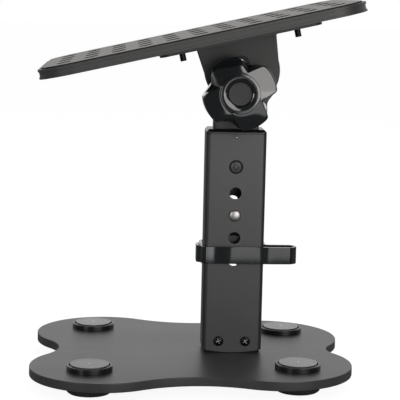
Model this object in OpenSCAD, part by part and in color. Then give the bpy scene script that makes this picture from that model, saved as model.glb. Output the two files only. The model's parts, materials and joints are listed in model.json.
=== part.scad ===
// Desktop stand for one studio monitor: a heavy base plate on four rubber feet, a two-part
// rectangular column with a snap button, and a tilting platform clamped by a lobed knob.
// Millimetres, +Z up. The origin is on the floor, under the centre of the base plate.
// X runs along the base, Y across it, and the clamp knob faces -Y.

/* [Base plate] */
// Thickness of the steel base plate
base_t = 6; // [4:0.5:8]
// Height of the plate's underside above the floor
base_lift = 8.5; // [8:0.5:14]
// Radius of the two left lobes
lobe_l_r = 47; // [44:0.5:50]
// Radius of the two right lobes
lobe_r_r = 50; // [47:0.5:53]
// Radius of the waist on each long side
waist_r = 72; // [60:1:90]
// Radius of the notch in the left end
notch_l_r = 31; // [20:1:36]
// Radius of the notch in the right end
notch_r_r = 20; // [14:1:30]

/* [Feet] */
// Radius of a rubber foot where it meets the plate
foot_r = 15.9; // [14:0.1:17]
// Radius of the cup that sits on the plate above each foot
cup_r = 14.75; // [14:0.05:16]
// Height of that cup
cup_h = 3.9; // [3.6:0.1:5]
// Radius of the disc that closes the cup
disc_r = 12.9; // [11:0.1:13]

/* [Column] */
// Distance of the column's axis from the base plate's centre
col_x = 28; // [20:1:30]
// Width of the outer tube
col_w = 40; // [38:1:42]
// Depth of the outer tube
col_d = 25; // [24:0.5:26]
// Wall of both tubes
wall = 1.5; // [1.2:0.1:1.5]
// Height of the outer tube's top above the floor
col_top = 161.5; // [158:0.5:164]
// Distance between two height holes
hole_pitch = 15; // [14.5:0.5:15.5]
// Radius of a height hole
hole_r = 4; // [3.8:0.1:4]
// Height of the hole that holds the snap button
button_z = 107.5; // [106:0.5:109]
// Drop of the rear row of holes below the front row
rear_drop = 8.5; // [8:0.5:11]
// Height of the lock screw
lock_z = 140; // [138:1:142]

/* [Mast] */
// Width of the inner tube
mast_w = 30; // [28:1:31]
// Depth of the inner tube
mast_d = 15; // [15:0.5:16]
// Height of the inner tube's lower end
mast_z = 84; // [82:1:85]

/* [Platform] */
// Height of the tilt axis above the floor
pivot_z = 208; // [204:1:210]
// Offset of the tilt axis from the column's axis, towards the platform's raised end
pivot_x = 2; // [0:0.5:3]
// Tilt of the platform, with its right end up
tilt = 13; // [0:0.5:18]
// Furthest tilt to either side that the bracket's slots allow
tilt_limit = 20; // [12:1:20]
// Length of the platform
tray_l = 208; // [190:1:208]
// Depth of the platform
tray_d = 165; // [150:1:185]
// Radius of the platform's corners
tray_r = 24; // [12:1:30]
// Offset of the platform's centre from the tilt axis
tray_x = -24; // [-30:1:-10]
// Number of slots along the platform
slots_x = 11; // [3:2:11]
// Number of slots across the platform
slots_y = 4; // [2:2:4]

/* [Knob and cable clip] */
// Radius over the knob's four lobes
knob_r = 24.1; // [22:0.1:26]
// Turn of the first lobe from +X
knob_turn = 28; // [0:1:90]
// Height of the cable clip's lower edge
clip_z = 75.5; // [60:0.5:78]
// Height of the cable clip's band
clip_h = 11.4; // [8:0.1:12]
// Reach of the cable loop past the column's axis
loop_x = 42; // [36:1:60]

/* [Hidden] */
$fn = 64;

// Base plate
lobe_l = [-58, 48.5];
lobe_r = [55, 38];
base_top = base_lift + base_t;
feet = [[-66, -61], [-66, 61], [68, -53], [68, 53]];
foot_screw_r = 3;
cup_floor = 1;
disc_t = 1.5;
disc_rise = 0.3;
insert_flange_r = 8;
insert_boss_r = 4.5;
insert_h = 4.5;

// Column
col_r = 3;
col_bore = [col_w - 2 * wall, col_d - 2 * wall];
tube_gap = 0.3;
tube_end_r = 101;
socket_fit = 0.1;
socket_h = 24;
socket_bolt_x = 10;
socket_bolt_r = 3;
foot_screw_z = 22.5;
col_screw_x = 9;
col_screw_r = 1.75;
col_screw_head_r = 3.2;
lock_r = 2.5;
lock_head_r = 3.9;
lock_hole_r = 4.7;
lock_nut_w = 12;
lock_nut_t = 2.6;
collar_h = 3.3;
collar_skirt = 15;
collar_gap = 0.15;
nub_r = 0.9;
nub_z = col_top - 1.9;

// Mast
mast_r = 2;
mast_bore = [mast_w - 2 * wall, mast_d - 2 * wall];
glide_h = 5;
plug_z = 178;
plug_rise = 1.5;
mast_top = pivot_z + 5;
button_r = hole_r - 0.1;
mast_hole_r = hole_r + 1;
leaf_t = 0.8;

// Clamp and tilt bracket
bolt_drop = 18.5;
bolt_z = pivot_z - bolt_drop;
bolt_r = 4;
bolt_end = 27;
// The bracket's arc slots run round the tilt axis, a little past the tilt limit
slot_half = tilt_limit + 0.5;
slot_reach = norm([pivot_x, bolt_drop]);
slot_mid = -90 - atan(pivot_x / bolt_drop);
rivet_r = 4;
rivet_bore = 3;
rivet_head_r = 5.4;
rivet_head_t = 0.8;
running_gap = 0.05;
washer_t = 0.8;
ear_in = mast_d / 2 + washer_t + running_gap;
ear_t = 2.5;
ear_out = ear_in + ear_t;
ear_w = 53;
ear_r = 24.4;
ear_drop = 4.5;
ear_reach = 27.6;
yoke_top = 16.3;
plate_t = 2.5;
plate_l = 104;
plate_d = 110;
clamp_washer_r = 9;
clamp_washer_t = 1.6;
washer_face = ear_out + running_gap;
hub_face = washer_face + clamp_washer_t;
knob_back = hub_face + 2.5;
knob_front = knob_back + 19;
knob_ring_r = 12.8;
lobe_half = 22;
tip_r = 3;
valley_r = 6;
knob_recess_r = 7.7;
knob_bevel_r = 10.2;
hex_8 = 13 / sqrt(3);

// Platform, in the tilted frame whose origin is on the tilt axis
skirt_z = 19.2;
tray_top = 25.2;
sheet = 1.5;
pad_t = 1;
pad_inset = 2.5;
skirt_inset = 0.6;
lip_h = 1.2;
slot_w = 9;
slot_l = 16;
slot_pitch = [17.5, 35];
peg_x = 37.5;
peg_y = 35;
peg_r = 2;
peg_out = 5.5;

// Cable clip
clip_gap = 0.3;
clip_t = 1.8;
clip_in = [col_w / 2 + clip_gap, col_d / 2 + clip_gap];
clip_out = clip_in + [clip_t, clip_t];
latch_gap = 1.1;
gate_r = 3.4;
return_y = -4.6;

// The two rounded tips on either side of one of the knob's valleys
tip_a = (knob_r - tip_r) * [cos(lobe_half), sin(lobe_half)];
tip_b = (knob_r - tip_r) * [sin(lobe_half), cos(lobe_half)];

// A point on the circle around c
function on_circle(c, r, a) = c + r * [cos(a), sin(a)];

// Centre of the circle of radius r that touches two circles from outside, on the left of a to b
function touching(a, ra, b, rb, r) =
    let (d = norm(b - a), u = (b - a) / d)
    let (x = ((ra + r) ^ 2 - (rb + r) ^ 2 + d ^ 2) / (2 * d))
    let (h = sqrt((ra + r) ^ 2 - x ^ 2))
    a + x * u + h * [-u[1], u[0]];

// The point where two touching circles meet
function contact(a, ra, b, rb) = a + (b - a) * ra / (ra + rb);

waist = touching(lobe_l, lobe_l_r, lobe_r, lobe_r_r, waist_r);
notch_l = [lobe_l[0] - sqrt((lobe_l_r + notch_l_r) ^ 2 - lobe_l[1] ^ 2), 0];
notch_r = [lobe_r[0] + sqrt((lobe_r_r + notch_r_r) ^ 2 - lobe_r[1] ^ 2), 0];

// Flat rectangle with true round corners
module round_rect(l, w, r) {
    square([l - 2 * r, w], center = true);
    square([l, w - 2 * r], center = true);
    for (x = [-1, 1], y = [-1, 1])
        translate([x * (l / 2 - r), y * (w / 2 - r)])
            circle(r);
}

module round_bar(l, w, r, h) {
    linear_extrude(h)
        round_rect(l, w, r);
}

// Straight slot with round ends, along Y
module slot2d(l, w) {
    square([w, l - w], center = true);
    for (s = [-1, 1])
        translate([0, s * (l - w) / 2])
            circle(w / 2);
}

// Column frame: children stand on the column's axis
module on_column(z = 0) {
    translate([col_x, 0, z])
        children();
}

// Children's +Z points at the viewer, -Y, and their +Y points up
module facing_front(z, y = 0, x = 0) {
    translate([col_x + x, -y, z])
        rotate([90, 0, 0])
            children();
}

// Children's +Z points away, +Y, and their +Y points up
module facing_back(z, y = 0) {
    translate([col_x, y, z])
        rotate([90, 0, 180])
            children();
}

// Platform frame: origin on the tilt axis, +X up the slope
module tilted() {
    translate([col_x + pivot_x, 0, pivot_z])
        rotate([0, -tilt, 0])
            children();
}

module at_feet() {
    for (p = feet)
        translate([p[0], p[1], 0])
            children();
}

module at_pegs() {
    for (x = [-1, 1], y = [-1, 1])
        translate([x * peg_x, y * peg_y, 0])
            children();
}

// Pan or button head with a small dome; its seat is at z = 0
module dome_head(r, h) {
    ball_r = (r ^ 2 + h ^ 2) / (2 * h);
    intersection() {
        translate([0, 0, h - ball_r])
            sphere(ball_r);
        cylinder(r = r, h = h);
    }
}

module cross_recess(span, width, depth, z) {
    for (a = [0, 90])
        rotate(a)
            translate([-span / 2, -width / 2, z - depth])
                cube([span, width, depth + 1]);
}

module base_outline() {
    difference() {
        union() {
            for (m = [0, 1])
                mirror([0, m]) {
                    translate(lobe_l)
                        circle(lobe_l_r, $fn = 128);
                    translate(lobe_r)
                        circle(lobe_r_r, $fn = 128);
                    polygon([
                        [notch_r[0] - notch_r_r, 0],
                        contact(lobe_r, lobe_r_r, notch_r, notch_r_r),
                        contact(lobe_r, lobe_r_r, waist, waist_r),
                        contact(lobe_l, lobe_l_r, waist, waist_r),
                        contact(lobe_l, lobe_l_r, notch_l, notch_l_r),
                        [notch_l[0] + notch_l_r, 0],
                    ]);
                }
        }
        for (m = [0, 1])
            mirror([0, m])
                translate(waist)
                    circle(waist_r, $fn = 160);
        translate(notch_l)
            circle(notch_l_r, $fn = 96);
        translate(notch_r)
            circle(notch_r_r, $fn = 96);
    }
}

module base_plate() color([0.16, 0.16, 0.17]) {
    difference() {
        translate([0, 0, base_lift])
            linear_extrude(base_t)
                base_outline();
        at_feet()
            translate([0, 0, base_lift - 1])
                cylinder(r = foot_screw_r + 0.3, h = base_t + 2);
        for (s = [-1, 1])
            on_column(base_lift)
                translate([s * socket_bolt_x, 0, 0]) {
                    translate([0, 0, -1])
                        cylinder(r = socket_bolt_r + 0.3, h = base_t + 2);
                    translate([0, 0, -0.01])
                        cylinder(r1 = 6, r2 = socket_bolt_r, h = 3.01);
                }
    }
}

module foot_pads() color([0.06, 0.06, 0.06]) {
    at_feet()
        rotate_extrude()
            polygon([
                [foot_screw_r, 3], [foot_screw_r, 2], [5, 0], [foot_r - 2.6, 0], [foot_r - 1.4, 1],
                [foot_r, base_lift - 2.5], [foot_r, base_lift - 0.6], [foot_r - 0.6, base_lift],
                [insert_boss_r, base_lift], [insert_boss_r, base_lift - insert_h + 1.2],
                [insert_flange_r, base_lift - insert_h + 1.2], [insert_flange_r, base_lift - insert_h],
                [foot_screw_r, base_lift - insert_h],
            ]);
}

module foot_inserts() color([0.65, 0.65, 0.67]) {
    at_feet()
        translate([0, 0, base_lift - insert_h])
            difference() {
                union() {
                    cylinder(r = insert_flange_r, h = 1.2);
                    cylinder(r = insert_boss_r, h = insert_h);
                }
                translate([0, 0, -1])
                    cylinder(r = foot_screw_r, h = insert_h + 2);
            }
}

module foot_cups() color([0.07, 0.07, 0.07]) {
    at_feet()
        translate([0, 0, base_top])
            rotate_extrude()
                polygon([
                    [foot_screw_r + 0.3, 0], [cup_r, 0], [cup_r, cup_h - 0.8], [cup_r - 0.8, cup_h],
                    [disc_r + 0.05, cup_h], [disc_r + 0.05, cup_h + disc_rise - disc_t],
                    [disc_r - 2.4, cup_h + disc_rise - disc_t], [disc_r - 2.4, cup_floor],
                    [foot_screw_r + 0.3, cup_floor],
                ]);
}

module foot_screws() color([0.6, 0.6, 0.62]) {
    at_feet()
        translate([0, 0, base_top + cup_floor]) {
            difference() {
                cylinder(r = 6, h = 1.6);
                cross_recess(5, 1.1, 1, 1.6);
            }
            translate([0, 0, -cup_floor - base_t - insert_h])
                cylinder(r = foot_screw_r, h = insert_h + base_t + cup_floor + 0.2);
        }
}

module foot_discs() color([0.5, 0.5, 0.5]) {
    at_feet()
        translate([0, 0, base_top + cup_h + disc_rise - disc_t])
            difference() {
                cylinder(r = disc_r, h = disc_t);
                translate([0, 0, disc_t - 0.3])
                    cylinder(r = 0.8, h = 1);
            }
}

module column_socket() color([0.25, 0.25, 0.26]) {
    on_column(base_top)
        difference() {
            round_bar(col_bore[0] - socket_fit, col_bore[1] - socket_fit, col_r - wall, socket_h);
            for (s = [-1, 1]) {
                translate([s * socket_bolt_x, 0, -1])
                    cylinder(r = socket_bolt_r, h = 15);
                for (a = [0, 180])
                    rotate(a)
                        translate([s * col_screw_x, 0, foot_screw_z - base_top])
                            rotate([90, 0, 0])
                                translate([0, 0, 6])
                                    cylinder(r = col_screw_r, h = 8);
            }
        }
}

module socket_bolts() color([0.3, 0.3, 0.31]) {
    for (s = [-1, 1])
        on_column(base_lift + 0.2)
            translate([s * socket_bolt_x, 0, 0])
                difference() {
                    union() {
                        cylinder(r1 = 5.6, r2 = socket_bolt_r, h = 2.6);
                        cylinder(r = socket_bolt_r, h = base_t + 11);
                    }
                    translate([0, 0, -0.1])
                        cylinder(r = 2, h = 2, $fn = 6);
                }
}

module column_tube() color([0.18, 0.18, 0.19]) {
    difference() {
        intersection() {
            on_column(base_top + tube_gap)
                round_bar(col_w, col_d, col_r, col_top - base_top - tube_gap);
            facing_front(base_top + tube_gap + tube_end_r, -col_d)
                cylinder(r = tube_end_r, h = 2 * col_d, $fn = 256);
        }
        on_column()
            round_bar(col_bore[0], col_bore[1], col_r - wall, col_top + 1);
        for (i = [-2:1]) {
            facing_front(button_z + i * hole_pitch, col_d / 2 - 4)
                cylinder(r = hole_r, h = 6);
            facing_back(button_z + i * hole_pitch - rear_drop, col_d / 2 - 4)
                cylinder(r = hole_r, h = 6);
        }
        facing_front(lock_z, col_d / 2 - 4)
            cylinder(r = lock_hole_r, h = 6);
        facing_front(nub_z, col_d / 2 - 4)
            cylinder(r = nub_r, h = 6);
        for (a = [0, 180], s = [-1, 1])
            on_column(foot_screw_z)
                rotate(a)
                    translate([s * col_screw_x, 0, 0])
                        rotate([90, 0, 0])
                            translate([0, 0, col_d / 2 - 4])
                                cylinder(r = col_screw_r, h = 6);
    }
}

module column_screws() color([0.1, 0.1, 0.1]) {
    for (a = [0, 180], s = [-1, 1])
        on_column(foot_screw_z)
            rotate(a)
                translate([s * col_screw_x, 0, 0])
                    rotate([90, 0, 0])
                        translate([0, 0, col_d / 2])
                            difference() {
                                union() {
                                    dome_head(col_screw_head_r, 1.7);
                                    translate([0, 0, -6])
                                        cylinder(r = col_screw_r, h = 6.5);
                                }
                                cross_recess(3.6, 0.8, 1.1, 1.7);
                            }
}

module guide_collar() color([0.08, 0.08, 0.08]) {
    on_column(col_top)
        difference() {
            union() {
                intersection() {
                    round_bar(col_w, col_d, col_r, collar_h);
                    facing_collar(col_w, col_d + 2);
                    rotate(90)
                        facing_collar(col_d, col_w + 2);
                }
                translate([0, 0, -collar_skirt])
                    round_bar(col_bore[0] - 0.1, col_bore[1] - 0.1, col_r - wall, collar_skirt + 0.5);
                translate([0, -col_d / 2 + 0.4, nub_z - col_top])
                    rotate([-90, 0, 0])
                        cylinder(r = nub_r - 0.05, h = 3);
            }
            translate([0, 0, -collar_skirt - 1])
                round_bar(
                    mast_w + 2 * collar_gap, mast_d + 2 * collar_gap, mast_r, collar_skirt + collar_h + 2
                );
        }
}

// Chamfered outline of the collar's rim, seen along Y
module facing_collar(w, d) {
    chamfer = 1.8;
    translate([0, d / 2, 0])
        rotate([90, 0, 0])
            linear_extrude(d)
                polygon([
                    [-w / 2, 0], [w / 2, 0], [w / 2, collar_h - chamfer], [w / 2 - chamfer, collar_h],
                    [-w / 2 + chamfer, collar_h], [-w / 2, collar_h - chamfer],
                ]);
}

module lock_nut() color([0.6, 0.6, 0.62]) {
    facing_front(lock_z, col_d / 2 - wall - lock_nut_t)
        difference() {
            linear_extrude(lock_nut_t)
                square(lock_nut_w, center = true);
            translate([0, 0, -1])
                cylinder(r = lock_r, h = lock_nut_t + 2);
        }
}

module lock_screw() color([0.1, 0.1, 0.1]) {
    seat = (col_d - mast_d) / 2 - wall - 0.3;
    facing_front(lock_z, mast_d / 2 + 0.3)
        difference() {
            union() {
                cylinder(r = lock_r, h = seat + 0.5);
                translate([0, 0, seat])
                    cylinder(r = lock_head_r, h = 0.9);
                translate([0, 0, seat + 0.9])
                    dome_head(lock_head_r, 1.3);
            }
            translate([0, 0, seat + 1])
                cylinder(r = 3 / sqrt(3), h = 4, $fn = 6);
        }
}

module mast_tube() color([0.12, 0.12, 0.13]) {
    difference() {
        on_column(mast_z)
            round_bar(mast_w, mast_d, mast_r, mast_top - mast_z);
        on_column(mast_z - 1)
            round_bar(mast_bore[0], mast_bore[1], mast_r - wall, mast_top - mast_z + 2);
        facing_front(pivot_z, -mast_d, pivot_x)
            cylinder(r = rivet_r, h = 2 * mast_d);
        facing_front(bolt_z, -mast_d)
            cylinder(r = bolt_r, h = 2 * mast_d);
        facing_front(button_z, mast_d / 2 - 3)
            cylinder(r = button_r + 0.1, h = 4);
        for (i = [-1, 1])
            facing_front(button_z + i * hole_pitch, mast_d / 2 - 3)
                cylinder(r = mast_hole_r, h = 4);
        for (i = [0, 1, 2])
            facing_back(button_z + i * hole_pitch - rear_drop, mast_d / 2 - 3)
                cylinder(r = mast_hole_r, h = 4);
    }
}

module mast_glide() color([0.08, 0.08, 0.08]) {
    on_column(mast_z)
        difference() {
            union() {
                round_bar(mast_bore[0] - 0.1, mast_bore[1] - 0.1, mast_r - wall, 9);
                translate([0, 0, -glide_h])
                    round_bar(col_bore[0] - 0.3, col_bore[1] - 0.3, col_r - wall, glide_h);
            }
            translate([0, 0, -glide_h - 1])
                round_bar(18, 6, 1, glide_h + 11);
        }
}

module mast_plug() color([0.1, 0.1, 0.1]) {
    difference() {
        union() {
            on_column(plug_z)
                round_bar(mast_bore[0], mast_bore[1], mast_r - wall, mast_top - plug_z);
            on_column(mast_top)
                round_bar(mast_w, mast_d, mast_r, plug_rise);
        }
        facing_front(pivot_z, -mast_d, pivot_x)
            cylinder(r = rivet_r, h = 2 * mast_d);
        facing_front(bolt_z, -mast_d)
            cylinder(r = bolt_r, h = 2 * mast_d);
    }
}

module snap_button() color([0.75, 0.75, 0.74]) {
    facing_front(button_z, mast_bore[1] / 2) {
        cylinder(r = button_r, h = (col_d - mast_bore[1]) / 2);
        translate([0, 0, (col_d - mast_bore[1]) / 2])
            dome_head(button_r, 1.6);
        translate([0, 0, -0.8])
            cylinder(r = 5, h = 0.8);
    }
}

// Strip spring folded into a V inside the mast; its front leg carries the button
module button_leaf() color([0.6, 0.6, 0.62]) {
    front_y = mast_bore[1] / 2 - 0.8;
    back_y = mast_bore[1] / 2 - leaf_t - 0.1;
    leg = 20;
    facing_side(button_z, 8)
        polygon([
            [-front_y, 6], [-front_y, -6], [-0.5, -leg], [0.9, -leg],
            [back_y + leaf_t, -6], [back_y + leaf_t, 6], [back_y, 6], [back_y, -6],
            [0.4, -leg + 1.4], [-0.1, -leg + 1.4],
            [-front_y + leaf_t, -6], [-front_y + leaf_t, 6],
        ]);
}

// Extrudes an outline drawn with Y across and Z up, centred on the column's axis
module facing_side(z, w) {
    translate([col_x - w / 2, 0, z])
        rotate([90, 0, 90])
            linear_extrude(w)
                children();
}

module friction_washers() color([0.12, 0.12, 0.12]) {
    for (side = [0, 1])
        mirror([0, side, 0])
            facing_front(bolt_z, mast_d / 2)
                difference() {
                    linear_extrude(washer_t)
                        union() {
                            circle(clamp_washer_r);
                            translate([pivot_x, bolt_drop])
                                circle(7);
                            polygon([
                                [-clamp_washer_r, 0], [clamp_washer_r, 0],
                                [pivot_x + 7, bolt_drop], [pivot_x - 7, bolt_drop],
                            ]);
                        }
                    translate([0, 0, -1])
                        cylinder(r = bolt_r, h = 4);
                    translate([pivot_x, bolt_drop, -1])
                        cylinder(r = rivet_r, h = 4);
                }
}

module pivot_rivet() color([0.35, 0.35, 0.36]) {
    facing_front(pivot_z, -ear_out - running_gap - rivet_head_t, pivot_x)
        rotate_extrude()
            polygon([
                [rivet_bore, 0], [rivet_head_r, 0], [rivet_head_r, rivet_head_t], [rivet_r, rivet_head_t],
                [rivet_r, 2 * (ear_out + running_gap) + rivet_head_t],
                [rivet_head_r, 2 * (ear_out + running_gap) + rivet_head_t],
                [rivet_head_r, 2 * (ear_out + running_gap + rivet_head_t)],
                [rivet_bore, 2 * (ear_out + running_gap + rivet_head_t)],
            ]);
}

module clamp_bolt() color([0.45, 0.45, 0.46]) {
    facing_back(bolt_z, hub_face) {
        cylinder(r = hex_8, h = 5.3, $fn = 6);
        translate([0, 0, -hub_face - bolt_end])
            cylinder(r = bolt_r, h = hub_face + bolt_end + 1);
    }
}

module washer_ring(bore) {
    difference() {
        cylinder(r = clamp_washer_r, h = clamp_washer_t);
        translate([0, 0, -1])
            cylinder(r = bore, h = clamp_washer_t + 2);
    }
}

module rear_washer() color([0.45, 0.45, 0.46]) {
    facing_back(bolt_z, washer_face)
        washer_ring(bolt_r);
}

module front_washer() color([0.45, 0.45, 0.46]) {
    facing_front(bolt_z, washer_face)
        washer_ring(bolt_r + running_gap);
}

// Four lobes with rounded tips, and a round valley between each two that runs smoothly into them
module knob_outline() {
    rotate(knob_turn)
        difference() {
            union() {
                for (a = [0, 90, 180, 270])
                    rotate(a) {
                        for (m = [0, 1])
                            mirror([0, m])
                                translate(tip_a)
                                    circle(tip_r);
                        intersection() {
                            circle(knob_r, $fn = 96);
                            polygon([
                                [0, 0], on_circle([0, 0], 99, -lobe_half), on_circle([0, 0], 99, lobe_half),
                            ]);
                        }
                        polygon([[0, 0], tip_a, tip_b]);
                    }
            }
            for (a = [0, 90, 180, 270])
                rotate(a)
                    translate(touching(tip_b, tip_r, tip_a, tip_r, valley_r))
                        circle(valley_r);
        }
}

module knob_body() color([0.05, 0.05, 0.05]) {
    facing_front(bolt_z, hub_face)
        difference() {
            union() {
                cylinder(r = clamp_washer_r + 0.3, h = 6);
                translate([0, 0, knob_back - hub_face])
                    linear_extrude(knob_front - knob_back)
                        knob_outline();
                cylinder(r = knob_ring_r, h = knob_front - hub_face + 1.2);
            }
            translate([0, 0, -1])
                cylinder(r = hex_8 + 0.01, h = 11, $fn = 6);
            translate([0, 0, 1])
                cylinder(r = bolt_r + 0.4, h = 16);
            translate([0, 0, knob_front - hub_face - 1.8])
                cylinder(r1 = knob_recess_r, r2 = knob_bevel_r, h = 3.01);
        }
}

module knob_insert() color([0.7, 0.58, 0.3]) {
    facing_front(bolt_z, hub_face)
        difference() {
            cylinder(r = hex_8, h = 10, $fn = 6);
            translate([0, 0, -1])
                cylinder(r = bolt_r + running_gap, h = 12);
        }
}

module knob_cap() color([0.2, 0.2, 0.21]) {
    facing_front(bolt_z, knob_front - 1.8)
        cylinder(r = knob_recess_r - 0.1, h = 0.6);
}

module ear_outline() {
    difference() {
        union() {
            polygon([
                [-ear_w / 2, yoke_top], [-ear_r + 0.1, -ear_drop + 1.5], [ear_r - 0.1, -ear_drop + 1.5],
                [ear_w / 2, yoke_top],
            ]);
            intersection() {
                translate([0, -ear_drop])
                    circle(ear_r, $fn = 96);
                circle(ear_reach, $fn = 96);
            }
        }
        translate([-40, yoke_top])
            square([80, 30]);
        circle(rivet_r + running_gap);
        // Arc slot for the clamp bolt, centred on the tilt axis
        difference() {
            circle(slot_reach + bolt_r + 0.3, $fn = 96);
            circle(slot_reach - bolt_r - 0.3, $fn = 96);
            polygon([
                [0, 0], on_circle([0, 0], 99, slot_mid + slot_half), [99, 99], [-99, 99],
                on_circle([0, 0], 99, slot_mid - slot_half),
            ]);
        }
        for (s = [-1, 1])
            translate(on_circle([0, 0], slot_reach, slot_mid + s * slot_half))
                circle(bolt_r + 0.3);
    }
}

module tilt_yoke() color([0.15, 0.15, 0.16]) {
    tilted() {
        for (side = [0, 1])
            mirror([0, side, 0])
                translate([0, -ear_in, 0])
                    rotate([90, 0, 0])
                        linear_extrude(ear_t)
                            ear_outline();
        difference() {
            translate([-ear_w / 2, -ear_out, yoke_top - plate_t])
                cube([ear_w, 2 * ear_out, plate_t]);
            yoke_rivet_holes();
        }
    }
}

module yoke_rivet_holes() {
    for (s = [-1, 1])
        translate([s * 18, 0, 0])
            cylinder(r = 2.5, h = 40);
}

module yoke_rivets() color([0.4, 0.4, 0.41]) {
    tilted()
        for (s = [-1, 1])
            translate([s * 18, 0, yoke_top - plate_t - 1]) {
                cylinder(r = 2.5, h = 2 * plate_t + 1);
                cylinder(r = 4.2, h = 1);
                translate([0, 0, 2 * plate_t + 1])
                    cylinder(r = 4.2, h = 1);
            }
}

module support_plate() color([0.13, 0.13, 0.14]) {
    tilted()
        difference() {
            translate([0, 0, yoke_top])
                round_bar(plate_l, plate_d, 6, plate_t);
            yoke_rivet_holes();
            at_pegs()
                cylinder(r = peg_r, h = 40);
        }
}

module platform_spacers() color([0.5, 0.5, 0.52]) {
    tilted()
        at_pegs()
            translate([0, 0, yoke_top + plate_t])
                difference() {
                    cylinder(r = 4.5, h = tray_top - sheet - yoke_top - plate_t);
                    translate([0, 0, -1])
                        cylinder(r = peg_r, h = 20);
                }
}

module platform_screws() color([0.1, 0.1, 0.1]) {
    tilted()
        at_pegs() {
            translate([0, 0, tray_top - 1.4])
                cylinder(r1 = peg_r, r2 = 3.5, h = 1.4);
            translate([0, 0, yoke_top - peg_out])
                cylinder(r = peg_r, h = tray_top - yoke_top + peg_out);
        }
}

module slot_grid(h) {
    for (i = [0:slots_x - 1], j = [0:slots_y - 1])
        translate([
            tray_x + (i - (slots_x - 1) / 2) * slot_pitch[0], (j - (slots_y - 1) / 2) * slot_pitch[1], 0
        ])
            linear_extrude(h)
                slot2d(slot_l, slot_w);
}

module platform_tray() color([0.16, 0.16, 0.17]) {
    tilted()
        difference() {
            translate([tray_x, 0, 0]) {
                translate([0, 0, tray_top - sheet])
                    round_bar(tray_l, tray_d, tray_r, sheet);
                translate([0, 0, skirt_z])
                    round_bar(
                        tray_l - 2 * skirt_inset, tray_d - 2 * skirt_inset, tray_r - skirt_inset,
                        tray_top - skirt_z - 0.5
                    );
                translate([0, 0, skirt_z])
                    round_bar(tray_l, tray_d, tray_r, lip_h);
            }
            translate([tray_x, 0, 0])
                round_bar(
                    tray_l - 2 * (skirt_inset + sheet), tray_d - 2 * (skirt_inset + sheet),
                    tray_r - skirt_inset - sheet, tray_top - sheet
                );
            slot_grid(tray_top + 1);
            at_pegs() {
                cylinder(r = peg_r, h = 40);
                translate([0, 0, tray_top - 1.4])
                    cylinder(r1 = peg_r, r2 = 3.6, h = 1.45);
            }
        }
}

module platform_pad() color([0.42, 0.41, 0.4]) {
    tilted()
        difference() {
            translate([tray_x, 0, tray_top])
                round_bar(tray_l - 2 * pad_inset, tray_d - 2 * pad_inset, tray_r - pad_inset, pad_t);
            slot_grid(tray_top + pad_t + 1);
        }
}

// Cable clip, in the column's frame: a split band with a round-cornered loop at its right
module clip_body() color([0.05, 0.05, 0.05]) {
    loop_r = 4.4;
    on_column(clip_z)
        linear_extrude(clip_h) {
            translate([-clip_out[0], clip_in[1]])
                square([2 * clip_out[0], clip_t]);
            translate([clip_in[0], return_y])
                square([clip_t, clip_in[1] - return_y + 0.1]);
            translate([clip_in[0], return_y])
                square([loop_x - loop_r - clip_in[0], clip_t]);
            for (y = [return_y + clip_t - loop_r, -clip_out[1] + loop_r])
                translate([loop_x - loop_r, y])
                    intersection() {
                        difference() {
                            circle(loop_r);
                            circle(loop_r - clip_t);
                        }
                        translate([0, y > -8 ? 0 : -9])
                            square(9);
                    }
            translate([loop_x - clip_t, -clip_out[1] + loop_r])
                square([clip_t, clip_out[1] + return_y + clip_t - 2 * loop_r]);
            translate([-clip_out[0], -7.4])
                square([clip_t, 7.4 + clip_out[1]]);
            translate([-clip_out[0] - latch_gap + 0.25, -4])
                square([clip_t, 4]);
        }
}

// Gate of the clip: it turns the column's left corner, then steps out to hook over the body
module clip_gate() color([0.05, 0.05, 0.05]) {
    tab_x = -clip_out[0] - latch_gap - clip_t;
    hinge_x = loop_x - 4.4 - 0.3 - clip_t / 2;
    corner = [gate_r - clip_out[0], gate_r - clip_out[1]];
    on_column(clip_z)
        linear_extrude(clip_h) {
            translate([corner[0], -clip_out[1]])
                square([hinge_x - corner[0], clip_t]);
            translate([hinge_x, -clip_out[1] + clip_t / 2])
                circle(clip_t / 2);
            translate(corner)
                intersection() {
                    difference() {
                        circle(gate_r);
                        circle(gate_r - clip_t);
                    }
                    translate([-9, -9])
                        square(9);
                }
            polygon([
                [-clip_out[0], corner[1]], [-clip_in[0], corner[1]], [-clip_in[0], corner[1] + 1.6],
                [tab_x + clip_t, corner[1] + 3.6], [tab_x + clip_t, 0.7], [tab_x + clip_t + 0.35, 0.7],
                [tab_x + clip_t + 0.35, 2.6], [tab_x, 2.6], [tab_x, corner[1] + 2.6],
                [-clip_out[0], corner[1] + 0.6],
            ]);
        }
}

base_plate();
foot_pads();
foot_inserts();
foot_cups();
foot_screws();
foot_discs();
column_socket();
socket_bolts();
column_tube();
column_screws();
guide_collar();
lock_nut();
lock_screw();
mast_tube();
mast_glide();
mast_plug();
snap_button();
button_leaf();
friction_washers();
pivot_rivet();
clamp_bolt();
rear_washer();
front_washer();
knob_body();
knob_insert();
knob_cap();
tilt_yoke();
yoke_rivets();
support_plate();
platform_spacers();
platform_screws();
platform_tray();
platform_pad();
clip_body();
clip_gate();
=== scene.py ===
# %% [markdown]
# # A desktop stand for one studio monitor
# The real object is a heavy steel base on rubber feet, a rectangular column of two tubes that
# slide in each other, and a rubber-faced platform that tilts and is clamped by a black knob.
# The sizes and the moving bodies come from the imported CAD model, which loads first and is never
# changed. The cells below give it light, finishes, soft edges and the shapes that CAD only hints at.

import json
import math

import bmesh
import bpy
import numpy as np
from mathutils import Matrix, Vector


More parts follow.
